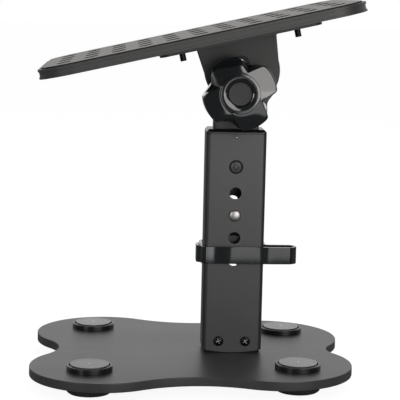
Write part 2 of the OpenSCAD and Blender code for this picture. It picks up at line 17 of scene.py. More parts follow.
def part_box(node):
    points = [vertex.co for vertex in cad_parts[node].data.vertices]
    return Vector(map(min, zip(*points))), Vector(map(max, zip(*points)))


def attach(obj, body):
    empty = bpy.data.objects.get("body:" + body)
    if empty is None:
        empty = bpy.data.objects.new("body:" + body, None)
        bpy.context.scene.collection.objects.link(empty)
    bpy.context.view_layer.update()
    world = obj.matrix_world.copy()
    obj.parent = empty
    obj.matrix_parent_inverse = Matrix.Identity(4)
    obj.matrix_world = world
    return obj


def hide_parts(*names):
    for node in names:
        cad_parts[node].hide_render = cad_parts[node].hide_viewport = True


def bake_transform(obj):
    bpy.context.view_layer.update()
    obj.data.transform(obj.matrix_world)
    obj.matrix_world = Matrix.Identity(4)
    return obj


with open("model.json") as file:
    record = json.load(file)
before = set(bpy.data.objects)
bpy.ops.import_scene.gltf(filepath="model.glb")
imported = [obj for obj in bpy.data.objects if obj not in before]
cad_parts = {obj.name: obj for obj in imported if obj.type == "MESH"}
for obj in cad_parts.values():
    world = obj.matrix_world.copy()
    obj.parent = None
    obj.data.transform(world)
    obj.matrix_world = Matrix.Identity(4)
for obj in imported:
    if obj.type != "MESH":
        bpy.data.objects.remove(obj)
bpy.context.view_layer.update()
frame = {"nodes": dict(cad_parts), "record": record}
MM = 0.001
RECORD = frame["record"]


def corners_of(node):
    """The two far corners of a CAD node's box, in millimetres."""
    return tuple(np.array(corner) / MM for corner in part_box(node))


def middle(node):
    """The centre of a CAD node's box, in millimetres."""
    return sum(corners_of(node)) / 2


# %% [markdown]
# ## Camera
# A long lens from about a metre, a little above the platform, looks at the stand's broad side.
# The aim, the distance and a slight roll are numbers that can be read off, so the camera's matrix
# is built from them directly instead of with a tracking constraint.

# %% Camera
SENSOR = 36
LENS = 3.6725 * SENSOR
AZIMUTH, ELEVATION, ROLL = -3.16, 7.87, 1.27
AIM = np.array([5.3, 0.0, 116.0]) * MM
REACH = 984.25 * MM


def camera_matrix(azimuth, elevation, roll, aim, reach):
    """Columns: right, up, backwards and place. The view direction comes from two angles, right is
    its cross product with the vertical, and both side axes then turn by the roll."""
    az, el, ro = np.radians([azimuth, elevation, roll])
    ahead = np.array([-math.sin(az) * math.cos(el), math.cos(az) * math.cos(el), -math.sin(el)])
    right = np.cross(ahead, [0, 0, 1])
    right /= np.linalg.norm(right)
    up = np.cross(right, ahead)
    side = right * math.cos(ro) + up * math.sin(ro)
    top = up * math.cos(ro) - right * math.sin(ro)
    whole = np.eye(4)
    whole[:3, 0], whole[:3, 1], whole[:3, 2] = side, top, -ahead
    whole[:3, 3] = aim - ahead * reach
    return Matrix(whole.tolist())


camera = bpy.data.objects.new("camera", bpy.data.cameras.new("camera"))
bpy.context.scene.collection.objects.link(camera)
camera.data.sensor_width = SENSOR
camera.data.lens = LENS
camera.data.clip_end = 100
camera.matrix_world = camera_matrix(AZIMUTH, ELEVATION, ROLL, AIM, REACH)
bpy.context.scene.camera = camera
bpy.context.scene.view_settings.view_transform = "Standard"
print(f"lens {LENS:.0f} mm at {REACH:.2f} m")

# %% [markdown]
# ## Shader maths
# A finish is mostly arithmetic on patterns: a tone plus a little noise, or a roughness that drops
# inside a mask. Written as Python expressions that arithmetic is easy to read, so one small class
# wraps a socket and adds a Math node for each operator. Every other node comes from one method of
# a second class, which a material and the world share.


# %% Values
class Value:
    """A node's output socket, on which +, -, *, / and ** add Math nodes."""

    def __init__(self, tree, socket):
        self.tree, self.socket = tree, socket

    def math(self, operation, *others, clamp=False):
        """Adds a Math node whose inputs are this value and the others."""
        node = self.tree.nodes.new("ShaderNodeMath")
        node.operation = operation
        node.use_clamp = clamp
        for i, item in enumerate((self, *others)):
            put(self.tree, node.inputs[i], item)
        return Value(self.tree, node.outputs[0])

    def __add__(self, other):
        return self.math("ADD", other)

    __radd__ = __add__

    def __mul__(self, other):
        return self.math("MULTIPLY", other)

    __rmul__ = __mul__

    def __sub__(self, other):
        return self.math("SUBTRACT", other)

    def __rsub__(self, other):
        return (self * -1.0).math("ADD", other)

    def __truediv__(self, other):
        return self.math("DIVIDE", other)

    def __pow__(self, other):
        return self.math("POWER", other)

    def limited(self):
        """The value kept between 0 and 1."""
        return self.math("ADD", 0.0, clamp=True)


def put(tree, socket, item):
    """Links a Value, or writes a plain number or colour, into an input socket."""
    if isinstance(item, Value):
        tree.links.new(item.socket, socket)
    elif hasattr(item, "__len__") and len(item) == 3 and len(socket.default_value) == 4:
        socket.default_value = (*item, 1.0)
    else:
        socket.default_value = item


def grey(level, warm=0.0):
    """A near-neutral colour; warm above 0 leans to yellow, below 0 to blue."""
    return (level * (1 + warm), level, level * (1 - warm))


# %% Nodes and finishes
class Nodes:
    """A node tree, with one method that adds any node and short ones for common patterns."""

    def __init__(self, tree):
        self.tree = tree

    def node(self, kind, settings=(), pick=0, **sockets):
        """Adds a node: its settings first, then its sockets by name, or by number as i0 or i1."""
        made = self.tree.nodes.new("ShaderNode" + kind)
        for key, item in dict(settings).items():
            setattr(made, key, item)
        for name, item in sockets.items():
            put(self.tree, self.socket(made.inputs, name), item)
        return Value(self.tree, made.outputs[pick])

    def socket(self, group, name):
        """The socket of that name, where _ stands for a space, or of that number."""
        if name[0] == "i" and name[1:].isdigit():
            return group[int(name[1:])]
        return group[name.replace("_", " ")]

    def axes(self, coordinates="Object"):
        """X, Y and Z of the object's own coordinates in metres, or of another kind."""
        split = self.tree.nodes.new("ShaderNodeSeparateXYZ")
        put(self.tree, split.inputs[0], self.node("TexCoord", pick=coordinates))
        return [Value(self.tree, out) for out in split.outputs]

    def noise(self, size_mm, detail=2.0, stretch=(1, 1, 1)):
        """Noise of about that grain size, from 0 to 1. stretch scales the pattern's coordinates, so
        less than 1 draws the grain out along that axis."""
        spot = self.node("Mapping", Vector=self.node("TexCoord", pick="Object"), Scale=stretch)
        return self.node("TexNoise", Vector=spot, Scale=1000.0 / size_mm, Detail=detail)

    def step(self, value, low, high, low_to=0.0, high_to=1.0):
        """A smooth step from low_to to high_to as value goes from low to high."""
        kinds = {"interpolation_type": "SMOOTHSTEP"}
        return self.node("MapRange", kinds, i0=value, i1=low, i2=high, i3=low_to, i4=high_to)

    def mix(self, factor, first, second):
        """The first colour where factor is 0, the second where it is 1."""
        return self.node("Mix", {"data_type": "RGBA"}, 2, i0=factor, i6=first, i7=second)


class Finish(Nodes):
    """One material: a Principled shader, and what feeds its sockets."""

    def __init__(self, name, **plain):
        self.name = name
        self.material = bpy.data.materials.new(name)
        self.material.use_nodes = True
        super().__init__(self.material.node_tree)
        self.shader = self.tree.nodes["Principled BSDF"]
        for socket, item in plain.items():
            self.feed(socket, item)

    def feed(self, name, item):
        """Links a value to one of the shader's sockets, or sets it."""
        put(self.tree, self.socket(self.shader.inputs, name), item)

    def relief(self, height, depth_mm):
        """Bump: the height times the depth, felt only by the shading."""
        self.feed("Normal", self.node("Bump", Height=height, Distance=depth_mm * MM, Strength=1.0))

    def tones(self, factor, tone, spread, warm):
        """A colour that goes from tone less the spread to tone plus the spread."""
        return self.mix(factor, grey(tone * (1 - spread), warm), grey(tone * (1 + spread), warm))


# %% [markdown]
# ## Room
# Black satin things are drawn by what they reflect. The stand is lit by a big soft box on the
# right, a long one at the left and a wide one above, over a white sweep. To the camera the sweep
# and the room are plain white, but the sweep still takes a faint shadow. To reflections the room
# is white behind the stand and dark in a wedge in front of it, on the camera's side. A picture of
# a studio could do the same, but a formula of the direction needs no file, and each stretch of it
# can be made lighter or darker alone.


# %% Light of the room
DARK_FRONT, SIDE_LEVEL, BACK_LEVEL = 0.10, 0.14, 0.95
SOFT = 0.02
LIT_FROM_Y = -0.44


def room_light(nodes, x, y, lit=(), back=BACK_LEVEL):
    """Grey level of the room towards (x, y): dark in front, where x / -y is small, a little
    lighter at both sides, and the level of the back as y turns positive. Each lit stretch, of
    x / -y from left to right, adds a level of its own in front of LIT_FROM_Y."""
    slope = x / (0.0 - y).math("MAXIMUM", SOFT)
    front = nodes.step(slope.math("ABSOLUTE"), 1.0, 2.4, DARK_FRONT, SIDE_LEVEL)
    for left, right, level in lit:
        past_left = nodes.step(slope, left - SOFT, left + SOFT)
        past_right = nodes.step(slope, right - SOFT, right + SOFT, 1, 0)
        near = nodes.step(y, LIT_FROM_Y - SOFT, LIT_FROM_Y + SOFT, level, 0)
        front = front + past_left * past_right * near
    turned_back = nodes.step(y, 0.05, 0.5)
    return front * (1 - turned_back) + turned_back * back


def ray_kinds(nodes):
    """Two masks: what the camera sees itself, and what gloss or glass shows it."""
    rays = nodes.tree.nodes.new("ShaderNodeLightPath")
    seen, glossy, clear = (
        Value(nodes.tree, rays.outputs[f"Is {kind} Ray"]) for kind in ("Camera", "Glossy", "Transmission")
    )
    return seen, glossy + clear


# %% Floor
FLOOR_HALF = 12.0
CORNERS = ((-1, -1), (1, -1), (1, 1), (-1, 1))
LIT_PAPER = ((-0.13, -0.03, 2.4), (0.095, 0.75, 1.4))
PAPER_BACK = 0.2
SEEN_GLOW, SEEN_SHARE = 1.1, 0.84


def make_floor():
    """A sheet of paper that glows white to the camera. The share of its own shading that is left
    shows the shadow, and gloss sees only the room's light on it."""
    mesh = bpy.data.meshes.new("floor")
    mesh.from_pydata([(FLOOR_HALF * x, FLOOR_HALF * y, 0) for x, y in CORNERS], [], [(0, 1, 2, 3)])
    plane = bpy.data.objects.new("floor", mesh)
    bpy.context.scene.collection.objects.link(plane)
    paper = Finish("sweep_paper", Base_Color=grey(0.95), Roughness=0.9, Specular_IOR_Level=0.1)
    tree = paper.tree
    x, y, _ = paper.axes()
    seen, mirrored = ray_kinds(paper)
    level = room_light(paper, x, y, LIT_PAPER, PAPER_BACK)
    glow = paper.node("Emission", Color=grey(1.0), Strength=seen * SEEN_GLOW + (1 - seen) * level)
    blend = tree.nodes.new("ShaderNodeMixShader")
    put(tree, blend.inputs[0], (seen * SEEN_SHARE + mirrored).limited())
    tree.links.new(paper.shader.outputs[0], blend.inputs[1])
    tree.links.new(glow.socket, blend.inputs[2])
    tree.links.new(blend.outputs[0], tree.nodes["Material Output"].inputs["Surface"])
    mesh.materials.append(paper.material)


make_floor()
print(f"floor {2 * FLOOR_HALF:.0f} m wide")

# %% World and lamps
AMBIENT = 0.42


def make_world():
    """White to the camera, the room's light to gloss, and a soft even light to everything else."""
    world = bpy.data.worlds.new("room")
    bpy.context.scene.world = world
    world.use_nodes = True
    sky = Nodes(world.node_tree)
    x, y, _ = sky.axes("Generated")
    seen, mirrored = ray_kinds(sky)
    level = room_light(sky, x, y)
    soft = (1 - (seen + mirrored).limited()) * AMBIENT
    background = sky.tree.nodes["Background"].inputs
    put(sky.tree, background["Strength"], seen + mirrored * level + soft)
    put(sky.tree, background["Color"], grey(1.0))


def add_lamp(name, place, aim, width, height, watts, warm=0.0):
    """A rectangular soft box at a place, turned so that it faces its aim."""
    data = bpy.data.lights.new(name, "AREA")
    data.shape, data.size, data.size_y, data.energy = "RECTANGLE", width, height, watts
    data.color = grey(1.0, warm)
    lamp = bpy.data.objects.new(name, data)
    lamp.location = place
    lamp.rotation_euler = (Vector(place) - Vector(aim)).to_track_quat("Z", "Y").to_euler()
    bpy.context.scene.collection.objects.link(lamp)


make_world()
add_lamp("soft_box_right", (0.62, -1.3, 0.56), (0, 0, 0.3), 1.0, 1.1, 13, 0.03)
add_lamp("strip_left", (-0.95, -1.05, 0.47), (0, 0, 0.2), 0.25, 0.9, 5)
add_lamp("top_back", (0.2, 0.5, 1.3), (0, 0, 0.1), 1.0, 0.6, 6)
print("lamps:", ", ".join(lamp.name for lamp in bpy.data.lights))

# %% [markdown]
# ## Finishes
# Powder coat is a baked skin with a fine orange-peel surface, so it gets a sub-millimetre bump
# and a slow change of gloss. Rubber is duller, with a finer and deeper grain. Moulded plastic is
# smooth with faint flow. Plated steel is bright, with soft mottling in its gloss. All of them could
# be painted textures, but noise on the object's own coordinates needs no unwrapping, has its grain
# in millimetres and stays with a piece that moves.


# %% Where painted shade falls
TILT = math.radians(13)
JOINTS = {joint["name"]: joint for joint in RECORD["behaviour"]["joints"]}
AXIS_X, _, AXIS_Z = JOINTS["platform_tilt"]["pos_m"]
COLUMN_LOW, COLUMN_HIGH = corners_of("column_tube")
COLUMN_X, COLUMN_HALF = middle("column_tube")[0], (COLUMN_HIGH[0] - COLUMN_LOW[0]) / 2
TRAY_MID, TRAY_HALF_LONG, TRAY_HALF_WIDE, TRAY_CORNER = -24, 104, 82.5, 24
INSIDE_SKIRT, PAD_TOP = 1.5, 26.14


def on_platform(finish):
    """Distance along the tilted platform from the tilt axis, across it, and height over the axis."""
    x, y, z = finish.axes()
    ahead, up = x - AXIS_X, z - AXIS_Z
    return (ahead * math.cos(TILT) + up * math.sin(TILT), y,
            up * math.cos(TILT) - ahead * math.sin(TILT))


def edge_at(finish, distance, place, half_width, low_to=0.0, high_to=1.0):
    """A step that a distance in metres takes at a place, over a width, both in millimetres."""
    return finish.step(distance, (place - half_width) * MM, (place + half_width) * MM, low_to, high_to)


def tube_shade(coat):
    """Painted shade: the outer tube's rolled corners, darkened for the dark reflection along them, and the
    inner tube above it, darkened for the knob's shadow.
    """
    x, _, z = coat.axes()
    # painted shade along both rolled corners, and painted shadow on the inner tube over the top
    corner = edge_at(coat, (x - COLUMN_X * MM).math("ABSOLUTE"), COLUMN_HALF - 2.6, 0.6)
    return (corner + edge_at(coat, z, COLUMN_HIGH[2] + 0.5, 0.2)).limited()


def slot_shade(coat):
    """Painted shade on the tray inside its skirt: the slots' walls and the hollow. The distance is
    measured from a smaller rectangle, so that its outline has the tray's own round corners."""
    ahead, across, _ = on_platform(coat)
    half_long, half_wide = (TRAY_HALF_LONG - TRAY_CORNER) * MM, (TRAY_HALF_WIDE - TRAY_CORNER) * MM
    past_end = ((ahead - TRAY_MID * MM).math("ABSOLUTE") - half_long).math("MAXIMUM", 0.0)
    past_side = (across.math("ABSOLUTE") - half_wide).math("MAXIMUM", 0.0)
    past = (past_end**2 + past_side**2) ** 0.5
    return edge_at(coat, past, TRAY_CORNER - INSIDE_SKIRT, 0.2, 1, 0)


print(f"tilt axis at {AXIS_X / MM:.1f}, {AXIS_Z / MM:.1f}; column {2 * COLUMN_HALF:.1f} wide")


# %% Coat, rubber, plastic and steel
def powder_coat(name, tone, gloss, peel_mm=0.55, warm=0.0, shaded=None, stretch=(1, 1, 1)):
    """Tone with slow mottling, and orange-peel relief of the given grain. shaded gives a mask of
    painted shade, where the tone drops to a third, and stretch draws the mottling out."""
    coat = Finish(name, Specular_IOR_Level=0.5)
    cloud = coat.noise(24, 3, stretch)
    fleck = coat.noise(0.9, 2, stretch)
    colour = coat.tones((cloud * 0.7 + fleck * 0.3).limited(), tone, 0.2, warm)
    if shaded:
        # painted shade: a third of the tone inside the mask
        colour = coat.mix(shaded(coat), colour, grey(tone * 0.3, warm))
    coat.feed("Base Color", colour)
    coat.feed("Roughness", cloud * 0.10 + fleck * 0.08 + (gloss - 0.09))
    coat.relief(coat.noise(peel_mm, 3) + coat.noise(peel_mm * 4, 1) * 0.5, 0.012)
    return coat


def rubber(name, tone, grain_mm=0.35, warm=0.0, painted_sheen=None):
    """Dull rubber; the paler tone given for the tilted pad's top is painted sheen there, and the walls of
    its slots keep the dark tone as painted shade.
    """
    skin = Finish(name, Specular_IOR_Level=0.45)
    cloud = skin.noise(18, 3)
    colour = skin.tones(cloud, tone, 0.15, warm)
    if painted_sheen:
        _, _, height = on_platform(skin)
        # painted sheen on the pad's top face, painted shade on the slot walls below it
        top = edge_at(skin, height, PAD_TOP, 0.04)
        colour = skin.mix(top, colour, skin.tones(cloud, painted_sheen, 0.15, warm))
    skin.feed("Base Color", colour)
    skin.feed("Roughness", cloud * 0.12 + 0.62)
    skin.relief(skin.noise(grain_mm, 4), 0.03)
    return skin


def moulded(name, tone, gloss, coat=0.0, warm=0.0):
    """Smooth plastic: slow flow in its tone, and faint upright scuffs where the gloss drops."""
    shell = Finish(name, Specular_IOR_Level=0.5, Coat_Weight=coat, Coat_Roughness=0.04)
    flow = shell.noise(14, 2, (1, 1, 0.4))
    scuff = shell.step(shell.noise(2.2, 4, (1, 1, 0.25)), 0.56, 0.74)
    shell.feed("Base Color", shell.tones(flow, tone, 0.15, warm))
    shell.feed("Roughness", flow * 0.04 + scuff * 0.06 + gloss)
    shell.relief(flow + shell.noise(5, 1) * 0.3, 0.01)
    return shell


def plated(name, tone, gloss, warm=0.0, brushed=(1, 1, 1)):
    """Bare or plated steel: mottled tone, and a fine grain that brushed draws out into lines."""
    metal = Finish(name, Metallic=1.0)
    grain = metal.noise(0.5, 3, brushed)
    cloud = metal.noise(6, 2)
    metal.feed("Base Color", metal.mix(cloud, grey(tone * 0.9, warm), grey(tone * 1.08, warm)))
    metal.feed("Roughness", grain * 0.10 + cloud * 0.05 + gloss)
    metal.relief(grain, 0.004)
    return metal


# %% Finishes
FINISHES = {finish.name: finish.material for finish in (
    powder_coat("base_coat", 0.024, 0.38, 0.5, -0.01, None, (0.15, 1, 1)),
    powder_coat("tube_coat", 0.036, 0.40, 0.5, -0.02, tube_shade),
    powder_coat("bracket_coat", 0.018, 0.5, 0.45, -0.01),
    powder_coat("tray_coat", 0.022, 0.5, 0.5, 0.0, slot_shade),
    powder_coat("foot_disc", 0.22, 0.4, 0.4),
    rubber("pad_rubber", 0.005, 0.4, 0.03, 0.19),
    rubber("foot_rubber", 0.018, 0.5),
    moulded("black_plastic", 0.006, 0.26),
    moulded("gloss_plastic", 0.006, 0.07, 0.6, -0.15),
    moulded("knob_cap", 0.007, 0.5, 0.0, -0.08),
    plated("zinc_steel", 0.62, 0.28),
    plated("black_steel", 0.016, 0.3),
    plated("bright_steel", 0.42, 0.34, 0.02),
    plated("spring_steel", 0.6, 0.22, -0.02, (1, 1, 0.1)),
    plated("brass", 0.55, 0.25, 0.3),
)}
for row in RECORD["subparts"]:
    mesh = frame["nodes"][row["node"]].data
    mesh.materials.clear()
    mesh.materials.append(FINISHES[row["material_slot"]])
print(len(FINISHES), "finishes")

# %% [markdown]
# ## Shapes on a grid
# Every new piece below is one or more grids of points, worked out as whole numpy arrays: rows
# follow a profile or a path, and columns go round. Where a row shrinks to a point it closes the
# shape. Welding the grid and turning its faces outwards then gives a clean closed mesh. The same
# shapes could be drawn by hand in edit mode, but a formula keeps its sizes tied to the CAD model.


# %% Dressing a piece
BODY_OF = {node: body for body, nodes in RECORD["behaviour"]["bodies"].items() for node in nodes}
SLOT_OF = {row["node"]: row["material_slot"] for row in RECORD["subparts"]}


def dress(piece, nodes, sharp, slot=None, stands_for=None, bend=None):
    """Puts a piece into the scene: its finish, smooth shading with sharp edges past an angle, its
    body, and the nodes that it stands in for. With bend given, it goes on no body and its
    transform is baked into its mesh instead; the bodies, start and end that bend holds are not used."""
    mesh = piece.data
    slot = slot or SLOT_OF[nodes[0]]
    stands_for = nodes if stands_for is None else stands_for
    bpy.context.scene.collection.objects.link(piece)
    mesh.materials.clear()
    mesh.materials.append(FINISHES[slot])
    mesh.polygons.foreach_set("use_smooth", np.ones(len(mesh.polygons), bool))
    mesh.set_sharp_from_angle(angle=math.radians(sharp))
    if bend:
        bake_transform(piece)
    else:
        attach(piece, BODY_OF[nodes[0]])
    if stands_for:
        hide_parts(*stands_for)


def even_shading(piece):
    """Normals weighted by face area, so that big flat faces look flat up to their soft edges."""
    piece.modifiers.new("shade", "WEIGHTED_NORMAL").keep_sharp = True


print(f"{len(SLOT_OF)} CAD nodes on {len(set(BODY_OF.values()))} bodies")

# %% Making a piece from grids
WELD = 2e-6


def quads(grid, first):
    """Corner numbers of a grid's faces, from first: each row's last column joins its first."""
    rows, cols = grid.shape[:2]
    row = np.arange(rows - 1)[:, None] * cols + first
    here = np.arange(cols)[None, :]
    after = (here + 1) % cols
    corners = np.broadcast_arrays(row + here, row + after, row + cols + after, row + cols + here)
    return np.stack(corners, axis=-1).reshape(-1, 4)


def make_piece(name, grids, nodes, sharp=40, **dressing):
    """One piece from one or more grids of points, in millimetres: welded, then turned outwards."""
    starts = np.cumsum([0] + [grid.shape[0] * grid.shape[1] for grid in grids])
    points = np.concatenate([grid.reshape(-1, 3) for grid in grids]) * MM
    faces = np.concatenate([quads(grid, first) for grid, first in zip(grids, starts)])
    mesh = bpy.data.meshes.new(name)
    mesh.from_pydata(points.tolist(), [], faces.tolist())
    shell = bmesh.new()
    shell.from_mesh(mesh)
    bmesh.ops.remove_doubles(shell, verts=shell.verts, dist=WELD)
    bmesh.ops.recalc_face_normals(shell, faces=shell.faces)
    shell.to_mesh(mesh)
    shell.free()
    piece = bpy.data.objects.new(name, mesh)
    dress(piece, nodes, sharp, **dressing)
    even_shading(piece)
    print(f"{name}: {len(mesh.polygons)} faces")


# %% Profiles
def rounded(corners, radius, steps=5):
    """A polyline with its inner corners rounded: each becomes a quadratic curve that starts and
    ends radius away from the corner, or at half of the shorter leg."""
    corners = np.array(corners, float)
    line = [corners[:1]]
    t = np.linspace(0, 1, steps + 1)[:, None]
    for before, corner, after in zip(corners, corners[1:], corners[2:]):
        reach_in, reach_out = (min(radius, np.linalg.norm(end - corner) / 2) for end in (before, after))
        start = corner + (before - corner) / np.linalg.norm(before - corner) * reach_in
        end = corner + (after - corner) / np.linalg.norm(after - corner) * reach_out
        line.append(start * (1 - t) ** 2 + corner * 2 * t * (1 - t) + end * t**2)
    line.append(corners[-1:])
    return np.concatenate(line)


def domed(radius, height, rise, count):
    """A quarter ellipse up to the axis: the radius times the cosine and the height plus rise times
    the sine, of an angle from 0 to 90 degrees."""
    angle = np.linspace(0, math.pi / 2, count)
    return np.stack([radius * np.cos(angle), height + rise * np.sin(angle)], axis=-1)


def turned(profile, centre, axis="z", around=96):
    """A profile of (radius, height) points revolved about a line through centre: each height is a
    circle of that radius. The line runs up, or along -Y with axis "front"."""
    angle = np.linspace(0, 2 * math.pi, around, endpoint=False)[None, :]
    radius, height = (np.asarray(profile)[:, i, None] for i in (0, 1))
    u, v, w = radius * np.cos(angle), radius * np.sin(angle), height + 0 * angle
    spot = (u, v, w) if axis == "z" else (u, -w, v)
    return np.stack(spot, axis=-1) + np.asarray(centre, float)


# %% [markdown]
# ## Sheet metal, tube and plate
# Steel that is cut, drilled and powder coated has no knife edges: the coat rolls over a small
# radius that catches a line of light. The shapes could be built again with round edges, but the
# CAD shape is right, so a welded copy of it gets a bevel modifier of each part's own width, and
# flat faces keep flat shading by weighted normals.


# %% Softened copies of CAD shapes
FLAT, EDGE_ANGLE = math.radians(0.4), math.radians(42)
EDGE_STEPS = 2


def softened(node, width):
    """A copy of a CAD shape: welded, its flat faces joined, then bevelled where faces meet at more
    than the edge angle."""
    mesh = frame["nodes"][node].data.copy()
    mesh.name = node + "_coated"
    shell = bmesh.new()
    shell.from_mesh(mesh)
    bmesh.ops.remove_doubles(shell, verts=shell.verts, dist=WELD)
    bmesh.ops.dissolve_limit(shell, angle_limit=FLAT, verts=shell.verts, edges=shell.edges)
    shell.to_mesh(mesh)
    shell.free()
    piece = bpy.data.objects.new(mesh.name, mesh)
    dress(piece, [node], 180)
    edge = piece.modifiers.new("edge", "BEVEL")
    edge.limit_method, edge.angle_limit = "ANGLE", EDGE_ANGLE
    edge.width, edge.segments = width * MM, EDGE_STEPS
    even_shading(piece)


EDGES = {
    "base_plate": 0.7, "foot_pads": 0.35, "column_tube": 0.35, "guide_collar": 0.25, "mast_tube": 0.3,
    "mast_plug": 0.3, "tilt_yoke": 0.4, "support_plate": 0.4, "platform_tray": 0.3, "platform_pad": 0.1,
    "friction_washers": 0.15, "front_washer": 0.25, "rear_washer": 0.25, "clamp_bolt": 0.3,
}
for node, width in EDGES.items():
    softened(node, width)
print(len(EDGES), "softened parts")

# %% [markdown]
# ## Feet
# Each foot is a moulded cup over the screw, closed by a painted steel disc with a rolled edge, a
# slight dish and the small mark of its centring pin. They are lathe shapes, which a Screw modifier
# could turn too. A short profile with rounded corners, revolved round each foot's axis as a grid,
# makes all four in one mesh.

# %% Cups and discs
CUP_LOW, CUP_TOP = (corner[2] for corner in corners_of("foot_cups"))
DISC_LOW, DISC_TOP = (corner[2] for corner in corners_of("foot_discs"))
CUP_R, RIM_R, DISC_R, PIN_R = 14.75, 13.25, 12.4, 0.8
FEET = [(-66, -61), (-66, 61), (68, -53), (68, 53)]
CUP = rounded(
    [(0, CUP_LOW + 0.2), (3.3, CUP_LOW + 0.2), (3.3, CUP_LOW), (CUP_R, CUP_LOW), (CUP_R, CUP_TOP - 0.9),
     (CUP_R - 0.4, CUP_TOP - 0.45), (RIM_R, CUP_TOP - 0.4), (RIM_R - 0.2, DISC_LOW - 0.8),
     (DISC_R - 1.4, DISC_LOW - 0.8), (DISC_R - 1.6, DISC_LOW - 0.05), (0, DISC_LOW - 0.05)], 0.2)
DISC = rounded(
    [(0, DISC_LOW), (DISC_R - 1.6, DISC_LOW), (DISC_R - 0.2, DISC_TOP - 0.3), (DISC_R, DISC_TOP - 0.2),
     (DISC_R, DISC_TOP), (DISC_R - 1.4, DISC_TOP), (DISC_R - 1.7, DISC_TOP - 0.15),
     (0, DISC_TOP - 0.15)], 0.1)
PIN = [(0, DISC_TOP - 0.3), *domed(PIN_R, DISC_TOP - 0.2, 0.35, 6)]
make_piece("foot_cups_moulded", [turned(CUP, (x, y, 0)) for x, y in FEET], ["foot_cups"])
make_piece("foot_discs_pressed", [turned(DISC, (x, y, 0)) for x, y in FEET], ["foot_discs"])
make_piece("foot_disc_pins", [turned(PIN, (x, y, 0), "z", 24) for x, y in FEET], ["foot_discs"], 50,
           slot="zinc_steel", stands_for=())

# %% [markdown]
# ## Screw heads and the snap button
# A pan head is a shallow dome with a recess pressed into it. As a surface it is a height over a
# disc: the dome's height, less a depth wherever the point lies inside the cross or hexagon. A
# smooth edge on that mask gives the recess its sloped, worn walls, where a boolean cut would leave
# them upright and sharp.


# %% Heads with a recess
DOME_SHARE = 0.985


def head_grid(centre, radius, seat, dome, depth, inside, towards=-1, rings=40, around=128):
    """Height over a disc at (x, z): the rim's height, seat, plus a dome that falls as the square
    root of 1 less DOME_SHARE * (r / radius)^2, less depth where inside(x, z) is above 0. The rim
    then drops straight, and a flat back closes it. towards is -1 or 1 along Y."""
    r = np.concatenate([np.linspace(0, radius, rings), [radius, 0]])[:, None]
    angle = np.linspace(0, 2 * math.pi, around, endpoint=False)[None, :]
    x, z = r * np.cos(angle), r * np.sin(angle)
    height = seat + dome * np.sqrt(np.clip(1 - (r / radius) ** 2 * DOME_SHARE, 0, 1)) + 0 * angle
    height = height - depth * np.clip(inside(x, z), 0, 1)
    height[-2:] = 0
    return np.stack([x, towards * height, z], axis=-1) + np.asarray(centre, float)


def cross_inside(turn, half_span=2.1, half_width=0.35, slope=0.5):
    """Above 0 inside two crossed bars: the distance inside the nearer bar over the wall's slope."""
    def inside(x, z):
        u = np.abs(x * math.cos(turn) + z * math.sin(turn))
        v = np.abs(z * math.cos(turn) - x * math.sin(turn))
        bar_u = np.minimum(half_span - u, half_width - v)
        bar_v = np.minimum(half_span - v, half_width - u)
        return np.maximum(bar_u, bar_v) / slope + 0.5

    return inside


def hex_inside(half_flats, slope=0.25):
    """Above 0 inside a hexagon: the distance inside its nearest flat over the wall's slope."""
    def inside(x, z):
        reach = [np.abs(x * math.cos(a) + z * math.sin(a)) for a in np.radians([30, 90, 150])]
        return (half_flats - np.maximum.reduce(reach)) / slope + 0.5

    return inside


# %% Screws at the column's foot
SCREW_OUT, SCREW_Z = 9, middle("column_screws")[2]
TURNS = {(-1, -1): 0.35, (-1, 1): 0.62, (1, -1): 1.1, (1, 1): 0.2}


def four_screws(radius, seat, dome, depth, *cross):
    """One grid for each screw: two on each broad face, and each cross turned its own way."""
    return [
        head_grid((COLUMN_X + SCREW_OUT * side, face * COLUMN_HIGH[1], SCREW_Z), radius, seat, dome, depth,
                  cross_inside(turn, *cross), face)
        for (face, side), turn in TURNS.items()
    ]


# Each recess gets a painted highlight: a slimmer cross of plated steel, raised on a small disc in the
# head.
heads = four_screws(3.25, 0.75, 1.0, 0.95)
painted_sheen = four_screws(2.2, 0.2, 0.0, -0.75, 1.9, 0.3, 0.25)
make_piece("column_screws_crossed", heads, ["column_screws"], 55)
make_piece("column_screw_recesses", painted_sheen, ["column_screws"], 55, slot="zinc_steel", stands_for=())

# %% Lock screw, snap button and the collar's nub
LOCK_X, _, LOCK_Z = middle("lock_screw")
HEAD_SEAT_Y, SHANK_Y = -11.0, -7.8
lock_head = head_grid((LOCK_X, HEAD_SEAT_Y, LOCK_Z), 3.75, 0.7, 1.4, 1.7, hex_inside(1.7))
lock_shank = turned([(0, 0), (2.5, 0), (2.5, 3.2), (0, 3.2)], (LOCK_X, SHANK_Y, LOCK_Z), "front", 48)
make_piece("lock_screw_button_head", [lock_head, lock_shank], ["lock_screw"], 50)

BUTTON_X, _, BUTTON_Z = middle("snap_button")
stem = rounded([(0, 5.25), (5, 5.25), (5, 6), (3.9, 6), (3.9, 12.5)], 0.15)
dome = domed(3.9, 12.5, 1.6, 14)[1:]
button = turned([*stem, *dome], (BUTTON_X, 0, BUTTON_Z), "front")
make_piece("snap_button_domed", [button], ["snap_button"])

NUB_DOWN = 1.9
profile = [(0, 11.8), *domed(1.0, 11.9, 1.1, 8)]
nub = turned(profile, (COLUMN_X, 0, COLUMN_HIGH[2] - NUB_DOWN), "front", 32)
make_piece("collar_pin", [nub], ["guide_collar"], 50, slot="zinc_steel", stands_for=())

# %% [markdown]
# ## Platform screws
# Four long countersunk screws hold the platform to its support plate, and their ends show below
# it. They are lathe shapes too: revolved upright, then turned about the tilt axis with the
# platform, because an object that was turned itself would be put upright again by the export. The
# rear pair is a little shorter, so that it stays behind the plate's edge.


# %% Platform screws
PEG_ALONG, PEG_ACROSS = 37.5, 35
FRONT_END, REAR_END, NECK, HEAD_TOP = 10.8, 12.3, 23.8, 25.15
PEG_R, HEAD_R = 2, 3.45


